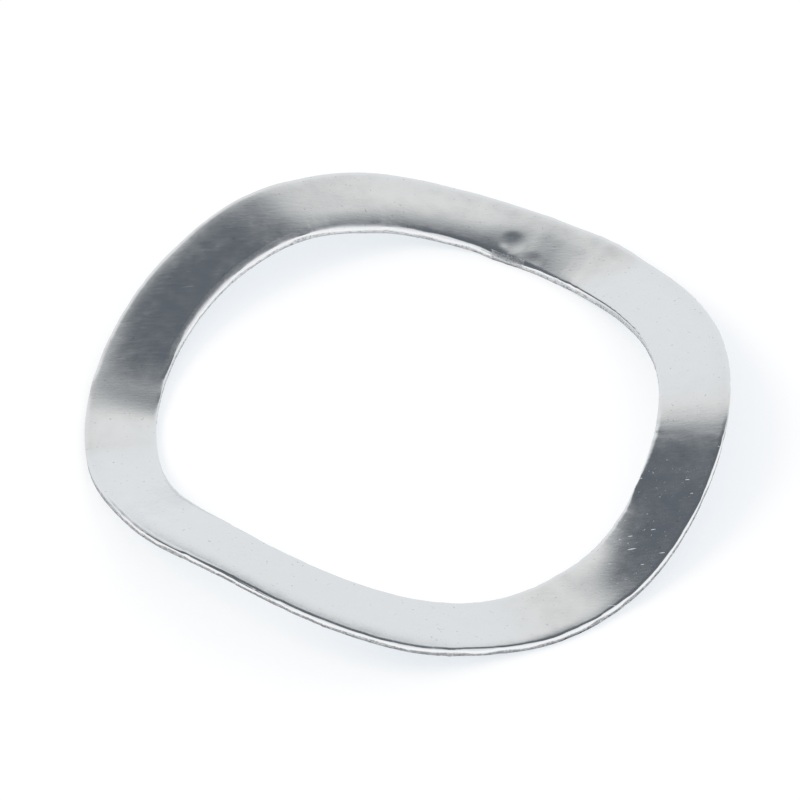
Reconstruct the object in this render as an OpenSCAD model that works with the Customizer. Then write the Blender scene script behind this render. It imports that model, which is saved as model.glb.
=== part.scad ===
// Wave spring washer: one flat ring of spring steel, bent up into three crests that stand on three feet.
// The ring lies on the plane z = 0 with its axis on Z.

/* [Ring] */
// Outside diameter
outer_d = 25.7; // [18:0.1:40]
// Width of the ring, from the hole to the rim
ring_w = 2.85; // [1.6:0.05:6]
// Thickness of the sheet
sheet_t = 0.4; // [0.3:0.05:0.9]

/* [Waves] */
// Height of the crest at the back left, from the plane of the feet to the underside of the rim
back_crest_h = 1.94; // [0.6:0.01:3.5]
// Height of the crest at the front left, measured the same way
front_crest_h = 3.05; // [0.6:0.01:3.5]
// Height of the crest at the right, measured the same way
right_crest_h = 2.43; // [0.6:0.01:3.5]
// Direction of the first foot, in degrees anticlockwise from +X
first_foot_deg = 60; // [0:1:119]
// Angle of the ring over which each foot lies flat
foot_deg = 6; // [3:1.5:15]
// Angle by which the crest at the back left leans clockwise from half-way between its two feet
back_crest_lean = 5; // [-15:1:15]
// The same for the crest at the front left
front_crest_lean = 8; // [-15:1:15]
// The same for the crest at the right
right_crest_lean = 5; // [-15:1:15]
// How much narrower the crests are than the feet, where 1 is an even wave
crest_sharpness = 1.02; // [1:0.02:1.8]

/* [Edges] */
// Width of the rounding that blanking leaves on both upper edges
roll_w = 0.4; // [0.06:0.02:0.5]
// Depth of that rounding
roll_depth = 0.1; // [0.04:0.02:0.24]

/* [Dent] */
// Direction of the dent in the upper face, in degrees anticlockwise from +X
dent_deg = 66; // [0:1:359]
// Distance of the dent from the edge of the hole
dent_in = 0.75; // [0.5:0.05:2]
// Width of the dent
dent_w = 1.2; // [0.4:0.05:1.4]
// Depth of the dent
dent_depth = 0.06; // [0.02:0.01:0.15]

/* [Hidden] */

outer_r = outer_d / 2;
inner_r = outer_r - ring_w;

// The crests in anticlockwise order from the first foot
crest_heights = [back_crest_h, front_crest_h, right_crest_h];
crest_leans = [back_crest_lean, front_crest_lean, right_crest_lean];
wave_deg = 360 / len(crest_heights);
rise_from_deg = foot_deg / 2;
fall_to_deg = wave_deg - foot_deg / 2;

// Steps round the ring, and how far the sheet is drawn past its edges before they are cut round
ring_steps = 240;
overlap = 0.02;
edge_steps = 3;
slope_step_deg = 0.01;
tall = 2 * (max(crest_heights) + sheet_t);
$fn = ring_steps;

// Share of the crest height reached at an angle past the foot that starts the wave
function wave_share(x, crest_deg) =
    let (climb = x < crest_deg
        ? (x - rise_from_deg) / (crest_deg - rise_from_deg)
        : (fall_to_deg - x) / (fall_to_deg - crest_deg))
    climb <= 0 ? 0 : pow((1 - cos(180 * climb)) / 2, crest_sharpness);

// Height of the underside at the rim, at an angle past the first foot
function rim_lift(a) =
    let (turn = a - 360 * floor(a / 360))
    let (wave = min(floor(turn / wave_deg), len(crest_heights) - 1))
    crest_heights[wave] * wave_share(turn - wave * wave_deg, wave_deg / 2 - crest_leans[wave]);

// Rise of the rim for each unit of arc
function rim_slope(a) =
    let (arc = 2 * slope_step_deg * PI / 180 * outer_r)
    (rim_lift(a + slope_step_deg) - rim_lift(a - slope_step_deg)) / arc;

// Height of the sheet measured straight up: a sloping sheet stands thicker than it is
function upright_t(a) = sheet_t * norm([1, rim_slope(a), rim_lift(a) / outer_r]);

// One straight line of the bent sheet: it points at the middle of the hole, in the plane of the feet
function underside(r, a) = rim_lift(a) * r / outer_r;

// Steps over a rounded edge, from the upper face towards the cut wall, as [distance from the wall, drop]
edge_round = [for (k = [0 : edge_steps - 1])
    let (turn = 90 * k / edge_steps)
    [roll_w * (1 - sin(turn)), roll_depth * (1 - cos(turn))]];

// The last step runs on straight through the wall, where the cut takes it off
last_step = edge_round[edge_steps - 1];
edge_end = [-overlap, roll_depth + (roll_depth - last_step[1]) * overlap / last_step[0]];
edge_side = concat(edge_round, [edge_end]);

// Outline of the sheet across the ring, as [radius, drop below the upper face], from the rim inwards
upper_side = concat(
    [for (k = [edge_steps : -1 : 0]) [outer_r - edge_side[k][0], edge_side[k][1]]],
    [for (step = edge_side) [inner_r + step[0], step[1]]]
);
lower_side = [inner_r - overlap, outer_r + overlap];
outline_n = len(upper_side) + len(lower_side);

// Outline at an angle past the first foot, as points in space
function outline_at(a) =
    let (dir = a + first_foot_deg)
    concat(
        [for (p = upper_side) [p[0] * cos(dir), p[0] * sin(dir), underside(p[0], a) + upright_t(a) - p[1]]],
        [for (r = lower_side) [r * cos(dir), r * sin(dir), underside(r, a)]]
    );

// The bent sheet with its edges still to be cut round
module bent_sheet() {
    points = [for (k = [0 : ring_steps - 1]) each outline_at(360 * k / ring_steps)];
    faces = [for (k = [0 : ring_steps - 1], j = [0 : outline_n - 1])
        let (here = k * outline_n)
        let (there = (k + 1) % ring_steps * outline_n)
        let (next = (j + 1) % outline_n)
        each [
            [here + j, there + j, there + next],
            [here + j, there + next, here + next]
        ]];
    polyhedron(points, faces, convexity = 8);
}

// The ball that leaves the dent: its cap is as wide and deep as the dent, and its poles lie clear of it
module dent_ball() {
    ball_r = (pow(dent_w / 2, 2) + pow(dent_depth, 2)) / (2 * dent_depth);
    dent_r = inner_r + dent_in;
    dent_turn = dent_deg - first_foot_deg;
    surface_z = underside(dent_r, dent_turn) + upright_t(dent_turn);
    rotate([0, 0, dent_deg])
        translate([dent_r, 0, surface_z - dent_depth + ball_r])
            rotate([90, 0, 0])
                sphere(r = ball_r);
}

module wave_washer() {
    color("silver")
        difference() {
            intersection() {
                bent_sheet();
                translate([0, 0, -tall / 2])
                    cylinder(r = outer_r, h = 2 * tall);
            }
            translate([0, 0, -tall / 2])
                cylinder(r = inner_r, h = 2 * tall);
            dent_ball();
        }
}

wave_washer();
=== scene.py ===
# %% [markdown]
# # A wave spring washer
#
# The object is one ring of thin spring steel, blanked from rolled sheet and bent into three waves.
# Everything here is in metres, in the frame of the packed model: the ring's axis is Z and its feet
# stand on z = 0. The lesson goes from the camera and the light to the ring's mesh, and from there
# to its finish.

# %% Load the packed model
import math
import bpy
import numpy as np
from mathutils import Matrix, Vector


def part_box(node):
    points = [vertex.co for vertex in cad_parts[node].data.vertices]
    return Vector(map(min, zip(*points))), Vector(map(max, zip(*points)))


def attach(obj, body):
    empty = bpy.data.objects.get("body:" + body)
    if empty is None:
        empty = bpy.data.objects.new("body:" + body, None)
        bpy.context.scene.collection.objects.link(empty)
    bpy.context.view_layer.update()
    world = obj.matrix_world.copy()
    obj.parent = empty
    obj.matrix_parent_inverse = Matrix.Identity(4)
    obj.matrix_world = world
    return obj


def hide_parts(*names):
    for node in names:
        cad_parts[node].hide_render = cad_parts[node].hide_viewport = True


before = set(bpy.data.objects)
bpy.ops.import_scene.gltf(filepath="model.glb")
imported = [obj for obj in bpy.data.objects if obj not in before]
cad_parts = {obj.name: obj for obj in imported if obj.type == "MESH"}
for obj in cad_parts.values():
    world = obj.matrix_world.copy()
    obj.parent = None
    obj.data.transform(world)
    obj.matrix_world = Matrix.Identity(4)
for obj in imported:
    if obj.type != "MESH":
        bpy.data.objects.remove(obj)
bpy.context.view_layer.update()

MM = 0.001


# %% [markdown]
# ## The camera
#
# A small thing photographed from half a metre away through a long lens keeps its far side almost as
# large as its near side. The camera could be set by eye, but a mirror shows every degree of tilt. So
# the lens, the height and the tilt were found by laying the ring's outline over the photograph.
# The aim point moves sideways together with the camera, which frames the ring without lens shift.

# %% Camera
FRAME_PX = 800
SENSOR_MM = 36.0
camera_distance = 516 * MM
camera_elevation = math.radians(46.98)
camera_tilt = math.radians(1.388)
half_width_px, half_width = 324.8, 12.9 * MM
px_per_m = half_width_px / half_width
aim_height = 1.432 * MM
aim_px = (407.1, 408.5)

camera_data = bpy.data.cameras.new("Camera")
camera_data.sensor_width = SENSOR_MM
camera_data.lens = px_per_m * camera_distance / FRAME_PX * SENSOR_MM
camera = bpy.data.objects.new("Camera", camera_data)
bpy.context.scene.collection.objects.link(camera)

towards_camera = Vector((0, -math.cos(camera_elevation), math.sin(camera_elevation)))
facing = (-towards_camera).to_track_quat("-Z", "Y").to_matrix()
turned = facing @ Matrix.Rotation(-camera_tilt, 3, "Z")
slide = Vector((FRAME_PX / 2 - aim_px[0], aim_px[1] - FRAME_PX / 2, 0)) / px_per_m
aim = Vector((0, 0, aim_height))
camera.matrix_world = turned.to_4x4()
camera.location = aim + towards_camera * camera_distance + turned @ slide
bpy.context.scene.camera = camera
bpy.context.scene.view_settings.view_transform = "Standard"
print(f"lens {camera_data.lens:.1f} mm at {camera_distance:.3f} m")

# %% [markdown]
# ## Sums on shader sockets
#
# A finish is easier to read as a sum than as a row of wired boxes. The class below holds one output
# of a shader node. Adding, subtracting, multiplying or dividing such outputs puts the Math nodes
# into the tree by itself. The method `node` makes every other kind of node: its settings go in
# first, then the values or links of its sockets.

# %% One class for shader sums
class Signal:
    """One output of a shader node. Sums on signals add Math nodes to the same tree."""

    def __init__(self, tree, socket=None):
        self.tree, self.socket = tree, socket

    def node(self, kind, settings=None, sockets=None, output=0):
        made = self.tree.nodes.new(kind)
        for name, value in (settings or {}).items():
            setattr(made, name, value)
        for name, value in (sockets or {}).items():
            if isinstance(value, Signal):
                self.tree.links.new(value.socket, made.inputs[name])
            else:
                made.inputs[name].default_value = value
        return Signal(self.tree, made.outputs[output] if made.outputs else None)

    def math(self, operation, first, second=0.0):
        return self.node("ShaderNodeMath", {"operation": operation}, {0: first, 1: second})

    def __add__(self, other):
        return self.math("ADD", self, other)

    def __sub__(self, other):
        return self.math("SUBTRACT", self, other)

    def __rsub__(self, other):
        return self.math("SUBTRACT", other, self)

    def __mul__(self, other):
        return self.math("MULTIPLY", self, other)

    def __truediv__(self, other):
        return self.math("DIVIDE", self, other)

    def __rtruediv__(self, other):
        return self.math("DIVIDE", other, self)

    __radd__ = __add__
    __rmul__ = __mul__

    def step(self, start, end):
        """0 below start and 1 above end, with a soft change between; start may lie above end."""
        if start > end:
            return 1 - self.step(end, start)
        settings = {"interpolation_type": "SMOOTHSTEP"}
        sockets = {"Value": self, "From Min": start, "From Max": end}
        return self.node("ShaderNodeMapRange", settings, sockets)

    def between(self, first_colour, second_colour):
        """Colour that goes from the first to the second as this signal goes from 0 to 1."""
        colour_a, colour_b, colour_out = 6, 7, 2
        sockets = {"Factor": self, colour_a: first_colour, colour_b: second_colour}
        return self.node("ShaderNodeMix", {"data_type": "RGBA"}, sockets, colour_out)


print("sums that work from both sides:", [name for name in vars(Signal) if name.startswith("__r")])

# %% [markdown]
# ## The studio
#
# Polished sheet shows little of itself: most of what is seen on it is the room. This ring lay in a
# white light tent with an opening overhead, and that opening is the dark patch which the sloping
# faces mirror. The patches could be painted on the faces, but then they would stay put when the
# view moves. So the tent is made instead, as a world: white, with soft dark shapes where the ring
# mirrors dark. Directions are measured as places on a flat ceiling one unit above the ring.

# %% World
world = bpy.data.worlds.new("Light tent")
bpy.context.scene.world = world
world.use_nodes = True
world.node_tree.nodes.clear()
world.cycles.sampling_method = "NONE"
tent = Signal(world.node_tree)

direction = tent.node("ShaderNodeTexCoord", output="Generated")
to_right, to_back, up = (
    tent.node("ShaderNodeSeparateXYZ", {}, {0: direction}, axis) for axis in "XYZ"
)
across, along = to_right / up, to_back / up
above_floor = up.step(0.02, 0.1)
print("world nodes for directions:", len(world.node_tree.nodes))

# %% [markdown]
# ## The opening overhead
#
# The opening is a wide dark shape whose far edge bends: it rises towards the left and falls towards
# the right, and a thin haze reaches past it. A plane lamp or a card could stand there, but the world
# keeps every edge as soft as the ring shows it. Each pair below is where an edge starts and ends.

# %% Opening
far_edge = 0.65
far_edge_rise_left, far_edge_fall_right = 0.15, 0.30
far_soft, near_soft = (0.24, -0.20), (-0.95, -0.55)
left_soft, right_soft = (-2.4, -1.9), (1.1, 0.75)
haze, haze_soft = 0.06, (0.80, 0.10)

edge_rise = tent.math("MAXIMUM", 0 - across, 0.0) * far_edge_rise_left
edge_fall = tent.math("MAXIMUM", across, 0.0) * far_edge_fall_right
behind_edge = along - far_edge - edge_rise + edge_fall
opening = (1 - haze) * behind_edge.step(*far_soft) + haze * behind_edge.step(*haze_soft)
opening = opening * along.step(*near_soft)
opening = opening * across.step(*left_soft) * across.step(*right_soft) * above_floor
print(f"far edge of the opening {math.degrees(math.atan(far_edge)):.0f} degrees behind the top")

# %% [markdown]
# ## The rest of the tent
#
# Two smaller things show in the metal: the cloth beside the far edge is slightly warm, and low at
# the left stands a dark band. All other light, such as what falls on the floor, sees an even and
# slightly warm sky, so that a shadow turns bluish. The kind of ray picks between these, because a
# camera sees the cloth as plain white.

# %% Tent colours by kind of ray
tent_white = (0.99, 0.99, 0.99, 1)
tent_warm = (1.0, 0.985, 0.95, 1)
opening_dark = (0.148, 0.164, 0.183, 1)
sky_tint = (0.96, 0.90, 0.86, 1)
band_right, band_left, band_back = (-0.48, -0.66), (-0.95, -0.89), (0.66, 0.50)
warm_far, warm_near = (0.60, 0.28), (-0.5, -0.1)
MIRROR_RAYS = ("Is Glossy Ray", "Is Transmission Ray")


def rays(start, *names):
    """1 for the named kinds of ray and 0 for all others."""
    kinds = [start.node("ShaderNodeLightPath", output=name) for name in names]
    return sum(kinds[1:], kinds[0])


band = to_right.step(*band_right) * to_right.step(*band_left) * to_back.step(*band_back)
dark = tent.math("MAXIMUM", opening, band * above_floor)
warm = behind_edge.step(*warm_far) * behind_edge.step(*warm_near)
mirrored = dark.between(warm.between(tent_white, tent_warm), opening_dark)

sky = rays(tent, *MIRROR_RAYS).between(sky_tint, mirrored)
sky = rays(tent, "Is Camera Ray").between(sky, tent_white)
glow = tent.node("ShaderNodeBackground", {}, {"Color": sky, "Strength": 1.0})
tent.node("ShaderNodeOutputWorld", {}, {"Surface": glow})
print("world nodes:", len(world.node_tree.nodes))

# %% [markdown]
# ## The lamp
#
# One large lamp at the left gives the faint shadow to the right of the ring and inside its hole. A
# sun would give a hard shadow, so the lamp is a disk, large enough to blur it. The metal doesn't
# mirror the lamp, because the ring shows no bright disk.

# %% Lamp
lamp_data = bpy.data.lights.new("Left softbox", "AREA")
lamp_data.shape = "DISK"
lamp_data.size = 0.24
lamp_data.energy = 0.66
lamp_data.color = (1.0, 0.82, 0.58)
lamp = bpy.data.objects.new("Left softbox", lamp_data)
lamp.location = (-0.34, -0.02, 0.38)
lamp.rotation_mode = "QUATERNION"
lamp.rotation_quaternion = (-lamp.location).to_track_quat("-Z", "Y")
lamp.visible_glossy = False
bpy.context.scene.collection.objects.link(lamp)
print(f"lamp {lamp_data.size:.2f} m wide, {lamp.location.length:.2f} m away")

# %% [markdown]
# ## The floor
#
# The ring stands on white paper. Paper that is only lit comes out grey, and more light would bleach
# the metal. So a bit over half of the paper's white is its own glow, and the rest is lit by the sky
# and the lamp, which lets it take the shadow. Half of what the metal mirrors of it is plain white.

# %% Floor
floor_half = 1.4
floor_gap = 0.02 * MM
corners = [(x * floor_half, y * floor_half) for x, y in ((-1, -1), (1, -1), (1, 1), (-1, 1))]
floor_mesh = bpy.data.meshes.new("Floor")
floor_mesh.from_pydata([(x, y, -floor_gap) for x, y in corners], [], [(0, 1, 2, 3)])
floor = bpy.data.objects.new("Floor", floor_mesh)
bpy.context.scene.collection.objects.link(floor)
print("floor half width, m:", floor_half)

# %% White paper
paper_grey = (0.45, 0.45, 0.45, 1)
paper_glow = (0.522, 0.563, 0.601, 1)
plain_share = 0.5

paper = bpy.data.materials.new("White paper")
paper.use_nodes = True
paper.node_tree.nodes.clear()
sheet = Signal(paper.node_tree)
lit = sheet.node("ShaderNodeBsdfDiffuse", {}, {"Color": paper_grey})
shining = sheet.node("ShaderNodeEmission", {}, {"Color": paper_glow, "Strength": 1.0})
both = sheet.node("ShaderNodeAddShader", {}, {0: lit, 1: shining})
plain = sheet.node("ShaderNodeEmission", {}, {"Color": tent_white, "Strength": 1.0})
plain_here = rays(sheet, *MIRROR_RAYS) * plain_share
floor_look = sheet.node("ShaderNodeMixShader", {}, {"Fac": plain_here, 1: both, 2: plain})
sheet.node("ShaderNodeOutputMaterial", {}, {"Surface": floor_look})
floor_mesh.materials.append(paper)
print("paper nodes:", len(paper.node_tree.nodes))

# %% [markdown]
# ## The waves
#
# The blank was pressed between two wavy dies. Each of its three waves rises from a short flat foot
# to a crest and falls to the next foot, and the crests came out unequal. A Wave modifier would make
# them all alike, so the height is worked out here, as it is in the solid. A straight line across
# the ring stays straight in the press, and all these lines point at the middle of the hole at floor
# level, so a height is set once, at the rim. Sizes of the ring are in millimetres from here on.

# %% Wave heights at the rim
low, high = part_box("wave_washer")
outer_r = (high[0] - low[0]) / 2 / MM
ring_w = 2.85
sheet_t = 0.4
inner_r = outer_r - ring_w

crest_heights = np.array([1.94, 3.05, 2.43])
crest_leans = np.array([5, 8, 5])
wave_deg = 360 / len(crest_heights)
crest_deg = wave_deg / 2 - crest_leans
first_foot_deg = 60
foot_deg = 6
crest_sharpness = 1.02


def rim_lift(turn):
    """Height of the underside at the rim, in mm, at angles in degrees past the first foot."""
    turn = turn % 360
    wave = np.minimum(turn // wave_deg, len(crest_heights) - 1).astype(int)
    past_foot = turn - wave * wave_deg - foot_deg / 2
    rise = crest_deg[wave] - foot_deg / 2
    fall = wave_deg - crest_deg[wave] - foot_deg / 2
    climb = np.where(past_foot < rise, past_foot / rise, 1 - (past_foot - rise) / fall)
    share = (1 - np.cos(np.pi * np.clip(climb, 0, 1))) / 2
    return crest_heights[wave] * share ** crest_sharpness


print(f"rim radius {outer_r:.2f} mm, hole radius {inner_r:.2f} mm")

# %% Steps round the ring
step_deg = 0.25
slope_step = 0.01
turns = np.arange(0, 360, step_deg)
lift = rim_lift(turns)
slope_arc = 2 * math.radians(slope_step) * outer_r
slope = (rim_lift(turns + slope_step) - rim_lift(turns - slope_step)) / slope_arc
upright_t = sheet_t * np.sqrt(1 + slope ** 2 + (lift / outer_r) ** 2)
print(f"{len(turns)} steps, tallest crest {lift.max():.2f} mm, steepest {abs(slope).max():.3f}")

# %% [markdown]
# ## The section
#
# Blanking leaves its mark on a cut edge: the upper edge is pulled over into a rounding, the punch
# rubs it bright, and below that the sheet tears and leaves a rough grey wall. A Bevel modifier would
# round both edges evenly, so the section is listed row by row. It walks once round the sheet: up
# the outer wall, over the rounding, across the upper face, down the inner wall and back along the
# underside. Rows of points lie close together where the rounding turns fast, and further apart on
# the face. A row holds its radius and its depth: 0 on the upper face and 1 on the underside.

# %% Rows of the section
corner_w, corner_depth = 0.19, 0.12
wall_rows, corner_rows, face_rows, under_rows = 8, 7, 15, 5
past_corner = [0.21, 0.24, 0.28, 0.32, 0.37, 0.44, 0.53, 0.64]
under_gap = 0.03

corner_turn = np.radians(np.linspace(90, 0, corner_rows))
roll_in = np.concatenate([corner_w * (1 - np.sin(corner_turn)), past_corner])
face_ends = outer_r - roll_in[-1], inner_r + roll_in[-1]
face_r = np.linspace(*face_ends, face_rows + 2)[1:-1]
down_wall = np.linspace(0, 1, wall_rows + 1)[1:]
under_r = np.linspace(inner_r + under_gap, outer_r - under_gap, under_rows)

section = (
    [(outer_r, depth) for depth in down_wall[::-1]]
    + [(outer_r - distance, 0) for distance in roll_in]
    + [(r, 0) for r in face_r]
    + [(inner_r + distance, 0) for distance in roll_in[::-1]]
    + [(inner_r, depth) for depth in down_wall]
    + [(r, 1) for r in under_r]
)
print(f"{len(section)} rows across the section")

# %% Where each row lies
touching = 1e-6
row_r, row_depth = (np.array(column)[:, None] for column in zip(*section))
from_hole, from_rim = row_r - inner_r, outer_r - row_r
from_edge = np.minimum(from_hole, from_rim)
by_hole = from_hole < from_rim
on_wall = (from_edge < touching) & (row_depth > 0)
print(f"{on_wall.sum()} rows on the walls, {by_hole.sum()} nearer to the hole")

# %% [markdown]
# ## Places on the ring
#
# Every bend, dent and mark on the ring sits somewhere round it and at some distance from its edges.
# They could be sculpted, but a sculpt can't be read or changed later. A few small functions say
# where a thing is instead. Along the ring they end softly, because a mirror shows a sudden change as
# a hard line.

# %% Soft places
bearing_deg = turns + first_foot_deg
bearing = np.radians(bearing_deg)[None, :]


def degrees_from(centre):
    """Degrees between each step round the ring and one bearing."""
    return np.abs((bearing_deg - centre + 180) % 360 - 180)


def near(centre, half):
    """1 at one bearing in degrees, falling softly to 0 at a number of degrees to either side."""
    away = np.clip(degrees_from(centre) / half, 0, 1)
    return np.where(away < 1, np.cos(np.pi / 2 * away) ** 2, 0)[None, :]


def span(start, end, soft):
    """1 from one bearing to another, anticlockwise, with soft ends."""
    middle, half = (start + end) / 2, (end - start) / 2
    ramp = np.clip((half + soft / 2 - degrees_from(middle)) / soft, 0, 1)
    return (ramp * ramp * (3 - 2 * ramp))[None, :]


def margin(distance, width, power):
    """1 at an edge, falling to 0 at a distance from it."""
    return np.clip(1 - distance / width, 0, 1) ** power


def rising(value, start, width):
    """0 up to a start, rising evenly to 1 over a width."""
    return np.clip((value - start) / width, 0, 1)


print(f"bearings from {bearing_deg[0]:.0f} degrees on")

# %% [markdown]
# ## Bends across the ring
#
# Mirrors show every bend, so the pale and dark patches on the ring tell how its face leans. Heights
# could be guessed until the patches look right, but a lean is what the eye sees, so the leans are
# set and the heights follow: adding up the leans from the rim inwards gives the height that each
# one takes off.

# %% From leans to heights
fine_steps = 572
fine_r = np.linspace(inner_r, outer_r, fine_steps)[:, None]
fine_hole, fine_rim = fine_r - inner_r, outer_r - fine_r


def taken_off(lean_deg):
    """Height lost at each fine radius when the leans are added up from the rim inwards."""
    spacing = np.diff(fine_r[:, 0])[:, None]
    fall = np.tan(np.radians(lean_deg + 0 * fine_r))
    parts = (fall[1:] + fall[:-1]) / 2 * spacing
    added = np.cumsum(parts[::-1], axis=0)[::-1]
    return np.concatenate([added, np.zeros((1, parts.shape[1]))])


def at_rows(field):
    """A field on the fine radii, read at the rows of the section."""
    place = (np.clip(row_r[:, 0], inner_r, outer_r) - inner_r) / ring_w * (len(field) - 1)
    below = np.minimum(place.astype(int), len(field) - 2)
    return field[below] + (field[below + 1] - field[below]) * (place - below)[:, None]


print(f"{fine_steps} fine radii, {ring_w / (fine_steps - 1):.4f} mm apart")

# %% [markdown]
# ## Leans of the face
#
# Each line below is one lean, in degrees, with its place on the ring: positive leans towards the
# hole. The first group bends the whole sheet, which tips about the edge of the hole at the back
# right and about a line within the sheet elsewhere. The other two groups only roll the edges over.

# %% Leans
sheet_lean = (
    4.5 * span(44, 65, 10)
    + 3.5 * margin(fine_hole, 2.0, 1.0) * span(50, 70, 10)
    + 2.2 * near(66, 8)
    + 7.8 * margin(fine_hole, 1.75, 1.15) * span(67, 99, 10)
    + 9 * margin(fine_hole, 0.9, 1.0) * near(103, 11)
    + 4 * margin(fine_hole, 1.3, 1.0) * near(114, 9)
    - 2.6 * near(114, 14)
)
hole_lean = (
    20 * margin(fine_hole, 0.34, 2.0) * span(62, 154, 14)
    + 18 * margin(fine_hole, 0.22, 1.0) * span(16, 42, 12)
    + 11 * margin(fine_hole, 1.7, 1.0) * span(312, 334, 12)
)
rim_lean = (
    12 * margin(fine_rim, 0.5, 1.2) * (0.35 + 0.65 * span(208, 300, 12))
    + 2.5 * margin(fine_rim, 1.6, 1.0) * near(106, 14)
    + 10 * margin(fine_rim, 1.7, 1.0) * span(127, 162, 22)
    + 3.5 * margin(fine_rim, 1.3, 1.0) * near(59, 12)
)

held_at_hole = 0.6 + 0.4 * span(38, 64, 12)
sheet_loss = taken_off(sheet_lean)
bend = at_rows(sheet_loss - held_at_hole * sheet_loss[0])
rim_loss = taken_off(-rim_lean)
roll = at_rows(taken_off(hole_lean)) + at_rows(rim_loss - rim_loss[0])
print(f"sheet bends by {np.ptp(bend):.3f} mm, edges roll by {roll.max():.3f} mm")

# %% [markdown]
# ## Dents and creases
#
# A blow has left a dent at the back, with a smaller one at the edge of the hole beside it and a
# small raised facet between them. The sheet is creased there, at the foot on the left, and lifted a
# little at the foot in front. A bump map could fake these, but then they would be missing from the
# mesh. So they are real hollows: each takes height off the upper face, or gives some back.

# %% Dents
def hollow(centre_deg, centre_r, half, depth):
    """Depth of a round dent about one place on the ring."""
    centre = math.radians(centre_deg)
    to_x = row_r * np.cos(bearing) - centre_r * math.cos(centre)
    to_y = row_r * np.sin(bearing) - centre_r * math.sin(centre)
    return depth * np.clip(1 - (np.hypot(to_x, to_y) / half) ** 2, 0, 1) ** 2


dents = (
    hollow(66.0, 10.85, 0.65, 0.026)
    + hollow(60, 10.25, 0.55, 0.016)
    - hollow(67.4, 10.42, 0.30, 0.010)
)
back_crease = 0.006 * near(63, 3.5) * margin(from_hole, 2.6, 1)
front_lift = 0.02 * near(305, 9)
left_crease = (0.05 * near(176.5, 9) * from_rim + 0.028 * near(172.5, 9) * from_hole) / ring_w
crease = back_crease - front_lift + left_crease
print(f"dents up to {dents.max():.3f} mm, creases up to {crease.max():.3f} mm")

# %% [markdown]
# ## Unevenness and the rounded corner
#
# The rest of the face is very slightly uneven, which makes the edges of the mirrored patches wander.
# It is a sum of low waves: the more bends a wave has round the ring, the lower it is. Noise would do
# too, but it doesn't close on itself round a circle. The rounded corner of the blanking comes last:
# it is well rounded along the front of the rim and the back of the hole, narrower in a few places,
# and almost sharp elsewhere.

# %% Unevenness
uneven_height, uneven_waves = 0.004, 24
rng = np.random.default_rng(11)
uneven = np.zeros((len(section), len(turns)))
for _ in range(uneven_waves):
    lobes, pitch, phase = rng.integers(9, 60), rng.uniform(-0.9, 0.9), rng.uniform(0, 2 * math.pi)
    uneven += np.sin(lobes * bearing + pitch * from_hole + phase) / lobes
uneven = uneven_height * (uneven - uneven.min()) / (uneven.max() - uneven.min())
print(f"uneven by {np.ptp(uneven):.3f} mm")

# %% Rounded corner
def ragged(rows, columns, spread, seed):
    """Random rows that close on themselves round the ring, smoothed over a number of columns."""
    field = np.random.default_rng(seed).normal(size=(rows, columns))
    keep = np.exp(-2 * (np.pi * np.fft.rfftfreq(columns) * spread) ** 2)
    field = np.fft.irfft(np.fft.rfft(field, axis=1) * keep, columns, axis=1)
    return field / field.std()


rounded_hole = span(62, 154, 14) + 0.25 * span(20, 62, 14) + 0.8 * span(320, 352, 14)
rounded_rim = span(203, 346, 10)
narrow_hole = 0.5 * span(24, 58, 12)
narrow_rim = 0.35 * span(284, 346, 12) + 0.4 * near(230, 9)
least_rounded = 0.3

rounded = np.where(by_hole, rounded_hole, rounded_rim)
narrower = np.where(by_hole, narrow_hole, narrow_rim)
in_corner = margin(from_edge, corner_w * (1 - narrower), 1)
corner = corner_depth * (1 - np.sqrt(1 - in_corner ** 2))
corner = corner * (least_rounded + (1 - least_rounded) * rounded)
corner = corner * (1 + 0.25 * ragged(1, len(turns), 5, 21))
drop = roll + dents + crease + uneven + corner
print(f"deepest drop of the face {drop[row_depth[:, 0] == 0].max():.3f} mm")

# %% [markdown]
# ## The cut edges
#
# Neither edge is a perfect circle any more: the rim has shallow flats at the left, at the front and
# at the back right, the edge of the hole is worn back at the back, and both are nibbled all round.
# These could be cut off with booleans, but that would leave corners in the mirror. So the edge is
# moved, and the face follows it less and less over a reach of its width. All these offsets go into
# the sheet, never out of it.

# %% Flats and wear
rim_flats = (
    0.21 * near(202, 18)
    + 0.08 * near(236, 18)
    + 0.18 * near(284, 17)
    + 0.06 * span(228, 312, 14)
    + 0.20 * near(60, 17)
    + 0.06 * span(74, 114, 16)
    + 0.05 * near(132, 14)
)
hole_wear = 0.16 * span(70, 96, 10) + 0.05 * near(102, 10) + 0.03 * near(114, 12)
nibble = 0.008 * np.clip(ragged(1, len(turns), 2.0, 7), 0, 3)
reach, fade = 1.6, 1.5
hole_move = (hole_wear + nibble) * margin(from_hole, reach, fade)
rim_move = (rim_flats + nibble) * margin(from_rim, reach, fade)
print(f"rim flats up to {rim_flats.max():.2f} mm, hole wear up to {hole_wear.max():.2f} mm")

# %% [markdown]
# ## The torn walls
#
# Below its rounding the wall tore instead of being cut. The tear leans back under the edge, is
# broken into short facets and starts higher on the rim than in the hole. Beside the dent the edge
# of the hole is crushed as well, and at the right its wall is dull. A displacement map would need
# far more points, so each point of a wall is moved by a random depth of its own.

# %% Torn walls
hole_tear_start, rim_tear_higher, tear_soft = 0.12, 0.09, 0.2
tear_start = hole_tear_start - rim_tear_higher * ~by_hole + 0.06 * ragged(1, len(turns), 6, 3)
torn = rising(row_depth, tear_start, tear_soft) * on_wall
crushed = span(61.5, 69.5, 1.2) * (from_hole < corner_w) * (row_depth < 1)
dull = span(0, 41, 6) * on_wall * by_hole

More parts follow.
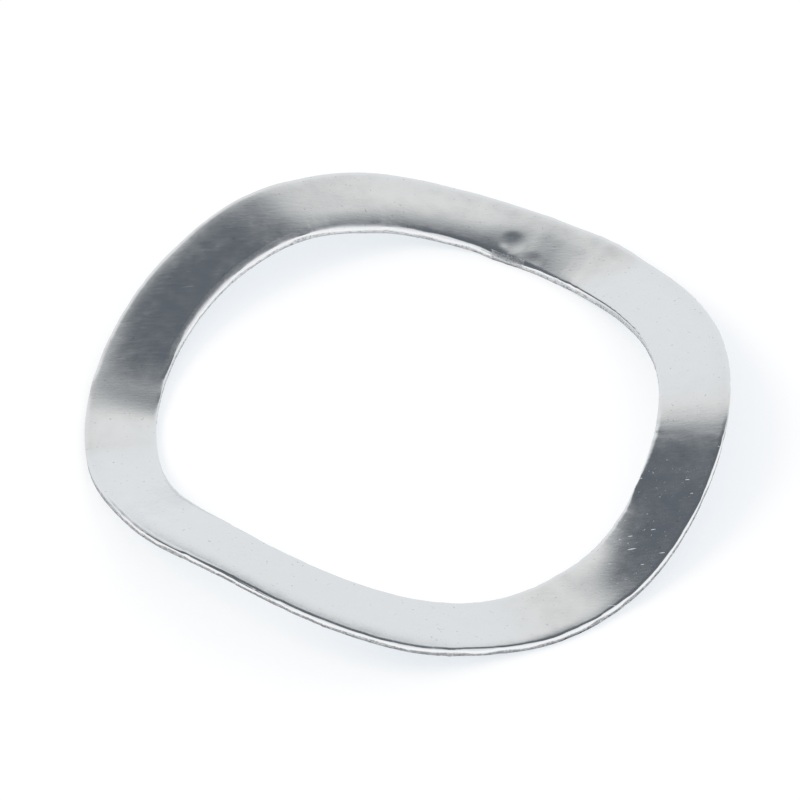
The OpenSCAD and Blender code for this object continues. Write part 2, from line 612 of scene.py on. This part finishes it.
facets = ragged(len(section), len(turns), 1.6, 5)
crumbs = ragged(len(section), len(turns), 2.5, 8)
tear_depth = np.clip(0.05 + 0.014 * facets, 0, 0.09) * row_depth
tear_depth = tear_depth + crushed * np.clip(0.02 + 0.02 * crumbs, 0, 0.06) * on_wall
tear = np.where(by_hole, 1, -1) * tear_depth * on_wall
radius = row_r + (hole_move - rim_move) + tear
print(f"tear leans back {tear_depth[on_wall[:, 0]].max():.3f} mm")

# %% [markdown]
# ## The ring's mesh
#
# The section is swept round the circle: every row of points is one ring, and neighbouring rings are
# joined by quads. A Screw modifier sweeps too, but only a fixed section, and this one changes at
# every step. The top is lowered by whatever the lifted places add, so the ring stays inside the
# packed solid's box, and no point goes below the floor.

# %% Build the ring
line = lift * row_r / outer_r - bend
under = np.maximum(line, 0)
top = line + upright_t - drop
top = top - max(top.max() - high[2] / MM, 0)
height = top * (1 - row_depth) + under * row_depth
x, y, z = radius * np.cos(bearing), radius * np.sin(bearing), np.maximum(height, 0)
points = (np.stack([x, y, z], axis=-1) * MM).reshape(-1, 3)

rows, columns = height.shape
index = np.arange(rows * columns).reshape(rows, columns)
next_row, next_column = np.roll(index, -1, 0), np.roll(index, -1, 1)
opposite = np.roll(next_row, -1, 1)
quads = np.stack([index, next_column, opposite, next_row], axis=-1).reshape(-1, 4)

mesh = bpy.data.meshes.new("Wave_washer")
mesh.from_pydata(points, [], quads.tolist())
mesh.shade_smooth()
washer = bpy.data.objects.new("Wave_washer", mesh)
bpy.context.scene.collection.objects.link(washer)
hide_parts("wave_washer")
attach(washer, "root")
print(f"{len(points)} points, {2 * len(quads)} triangles")

# %% [markdown]
# ## Marks for the finish
#
# The finish differs over the ring: the edges are rubbed dull, a thin corner is rubbed bright and
# carries a painted highlight, a painted dark reflection line runs along the rim at the front left,
# and the walls are torn. Separate materials would meet in hard lines, so each of these is a mark
# instead, a number from 0 to 1 that every point carries, and one material blends by them.

# %% Rubbed edges, painted highlight and painted dark reflection line
rub_w, rub_start, rub_soft = 0.95, 0.10, 0.14
rubbed_rim = margin(from_rim, rub_w, 1.5) * (0.15 + 0.85 * span(212, 272, 24))
rubbed_rim = rubbed_rim * rising(from_edge, rub_start, rub_soft)

hole_rub_w, hole_rub_start, hole_rub_soft = 0.32, 0.02, 0.1
rubbed_hole = 0.9 * margin(from_hole, hole_rub_w, 1.0) * (span(88, 158, 16) + 0.6 * span(46, 58, 10))
rubbed_hole = rubbed_hole * rising(from_edge, hole_rub_start, hole_rub_soft)

# Burnish and painted highlight: the thin rounded corner is painted near-white, standing for the
# glint a lamp would give it.
burnish_and_highlight_w, burnish_and_highlight_soft = 0.05, 0.03
burnish_and_highlight = np.clip((burnish_and_highlight_w - from_edge) / burnish_and_highlight_soft, 0, 1)
burnish_and_highlight = burnish_and_highlight * np.where(by_hole, span(42, 154, 12), span(206, 346, 10))

# Painted dark reflection: a thin dark line painted along the rim at the front left, where the
# rounding mirrors dark.
painted_dark_line_in = 0.07
painted_dark_line = margin(np.abs(from_rim - painted_dark_line_in), painted_dark_line_in, 1) * span(202, 223, 10)
painted_dark_line = painted_dark_line * (0.8 + 0.2 * ragged(1, len(turns), 3, 17))
print(f"edges rubbed up to {rub_w} mm in, grime {2 * painted_dark_line_in:.2f} mm wide")

# %% Put the marks on the points
def most(*fields):
    """The largest of several fields, point by point."""
    return np.max(np.broadcast_arrays(*fields), axis=0)


paler_wall = 0.3 * span(96, 160, 12) * by_hole
marks = {
    "torn": most(torn, crushed, dull),
    "down": most(row_depth * on_wall * (1 - paler_wall), 0.6 * crushed, 0.8 * dull),
    "rubbed": rubbed_rim + rubbed_hole,
    # burnished corner with a painted highlight
    "burnish_and_highlight": burnish_and_highlight,
    # painted dark reflection line along the front-left rim
    "painted_dark_line": painted_dark_line,
    "gritty": on_wall * ~by_hole * row_depth,
    "worn": 0.15 + 0.85 * span(306, 344, 16),
}
for name, field in marks.items():
    on_points = mesh.attributes.new(name, "FLOAT", "POINT").data
    on_points.foreach_set("value", (field + 0 * height).ravel())
print("marks:", ", ".join(marks))

# %% [markdown]
# ## The finish of rolled spring steel
#
# Cold-rolled sheet is bright but not a mirror: the rolls leave a fine grain along one direction, and
# handling adds specks, short scratches and a few dark pits. An image of steel would repeat and has
# one scale only, so all of it is noise in millimetres on the ring. Noise is drawn out along the
# rolling direction where the rolls made the marks, and left even where they did not.

# %% Noise on the steel
steel = bpy.data.materials.new("Spring_steel")
steel.use_nodes = True
steel.node_tree.nodes.clear()
finish = Signal(steel.node_tree)

place = finish.node("ShaderNodeTexCoord", output="Object")
metres_to_mm = {0: place, "Scale": 1 / MM}
place_mm = finish.node("ShaderNodeVectorMath", {"operation": "SCALE"}, metres_to_mm)


def along_rolling(stretch):
    """The place in mm, drawn out along the rolling direction."""
    sockets = {0: place_mm, 1: (1 / stretch, 1, 1)}
    return finish.node("ShaderNodeVectorMath", {"operation": "MULTIPLY"}, sockets)


def noise(vector, scale, detail=2.0, roughness=0.5):
    """Soft noise between 0 and 1, with a number of bumps to the millimetre."""
    sockets = {"Vector": vector, "Scale": scale, "Detail": detail, "Roughness": roughness}
    return finish.node("ShaderNodeTexNoise", {}, sockets)


def swing(field, amount):
    """Noise turned into a swing about zero."""
    return (field - 0.5) * amount


cloud = noise(place_mm, 0.8, 3.0)
blotch = noise(place_mm, 1.7, 3.0)
mottle = noise(place_mm, 9.0, 2.0)
grain = noise(along_rolling(7), 9.0, 3.0, 0.6)
print("noise nodes:", len(steel.node_tree.nodes))

# %% [markdown]
# ## The colour of the face
#
# The face is a bluish grey. Specks and scratches scatter light, so they are pale where the mirror is
# dark, and most of them lie on the slope at the front right. They could be bumps, but at this size a
# bump only flickers, so they are colour and lost gloss. The rubbed edge, the bright corner with its
# painted highlight and the painted dark reflection line along the rim are laid over the face one
# after another.

# %% Face colour
def mark(name):
    return finish.node("ShaderNodeAttribute", {"attribute_name": name}, {}, "Fac")


sheet_deep, sheet_pale = (0.685, 0.708, 0.732, 1), (0.765, 0.788, 0.812, 1)
speck_pale, pit_dark = (0.76, 0.86, 0.98, 1), (0.42, 0.43, 0.45, 1)
# The near-white steel is burnish with a painted highlight.
rubbed_grey, burnish_and_highlight_colour = (0.60, 0.615, 0.635, 1), (0.90, 0.91, 0.92, 1)
# The near-black is a painted dark reflection line along the rim.
painted_dark_line_colour = (0.16, 0.17, 0.19, 1)
pit_share, rubbed_share, painted_dark_line_share = 0.5, 0.5, 0.85

worn_here, rubbed_here, burnish_and_highlight_here = mark("worn"), mark("rubbed"), mark("burnish_and_highlight")
specks = noise(along_rolling(1.3), 9.0, 3.0, 0.6).step(0.65, 0.76)
specks = specks * cloud.step(0.42, 0.56) * worn_here
scratches = noise(along_rolling(6), 10.0, 0.0).step(0.80, 0.85) * worn_here
pits = noise(place_mm, 7.0, 1.0).step(0.70, 0.78)

shade = swing(cloud, 0.08) + swing(mottle, 0.06) + swing(grain, 0.35)
face_colour = (shade + 0.5).between(sheet_deep, sheet_pale)
face_colour = (specks + scratches).between(face_colour, speck_pale)
face_colour = (pits * pit_share).between(face_colour, pit_dark)
face_colour = (rubbed_here * rubbed_share).between(face_colour, rubbed_grey)
# Burnished corner with a painted highlight.
face_colour = burnish_and_highlight_here.between(face_colour, burnish_and_highlight_colour)
# Painted dark reflection line along the rim at the front left.
face_colour = (mark("painted_dark_line") * painted_dark_line_share).between(face_colour, painted_dark_line_colour)
print("nodes with the face's colour:", len(steel.node_tree.nodes))

# %% [markdown]
# ## The colour of the torn walls
#
# The tear is a rougher version of the same steel, paler at its top than further down. Dark flecks
# are scattered over both walls, and coarser grit over the outer one. The same material goes on,
# because the tear fades into the rounding above it.

# %% Wall colour
tear_pale, tear_deep = (0.84, 0.85, 0.86, 1), (0.58, 0.59, 0.61, 1)
grit_dark, fleck_dark = (0.30, 0.31, 0.33, 1), (0.26, 0.27, 0.28, 1)
grit_share, fleck_share = 0.7, 0.75

torn_here, wall_place = mark("torn"), along_rolling(0.7)
fleck = noise(wall_place, 11.0, 3.0, 0.6).step(0.52, 0.66)
grit = noise(wall_place, 6.0, 3.0, 0.7).step(0.36, 0.58) * mark("gritty").step(0.05, 0.3)
tear_colour = mark("down").between(tear_pale, tear_deep)
tear_colour = (grit * grit_share).between(tear_colour, grit_dark)
tear_colour = (fleck * fleck_share).between(tear_colour, fleck_dark)
colour = torn_here.between(face_colour, tear_colour)
print("nodes with the walls' colour:", len(steel.node_tree.nodes))

# %% [markdown]
# ## Gloss and relief
#
# How sharply a place mirrors is what tells rolled steel from chrome. The gloss drifts in clouds and
# blotches, follows the grain, and is lost where the sheet is rubbed, specked or torn. The relief of
# the grain is about a micrometre, which only a bump can hold.

# %% Gloss, relief and surface
sheet_rough, tear_rough = 0.17, 0.42
grain_relief, mottle_relief, fleck_relief = 0.0012, 0.0010, 0.02

rub = rubbed_here * (0.35 + mottle) * (1 - burnish_and_highlight_here)
gloss_loss = sheet_rough + swing(cloud, 0.05) + swing(grain, 0.16) + rub * 0.65
gloss_loss = gloss_loss + specks * 0.3 + scratches * 0.25 + swing(blotch, 0.26)
rough = gloss_loss * (1 - torn_here) + tear_rough * torn_here
metal = 1 - specks * 0.3 - scratches * 0.45

relief = swing(grain, grain_relief) + swing(mottle, mottle_relief)
relief = relief + fleck * torn_here * fleck_relief
bump = finish.node("ShaderNodeBump", {}, {"Height": relief, "Strength": 1.0, "Distance": MM})
look = {"Base Color": colour, "Metallic": metal, "Roughness": rough, "Normal": bump}
surface = finish.node("ShaderNodeBsdfPrincipled", {}, look)
finish.node("ShaderNodeOutputMaterial", {}, {"Surface": surface})
mesh.materials.append(steel)
print("finish nodes:", len(steel.node_tree.nodes))

# %% [markdown]
# ## Sizes
#
# The dressed ring has to stay inside the packed solid's box.
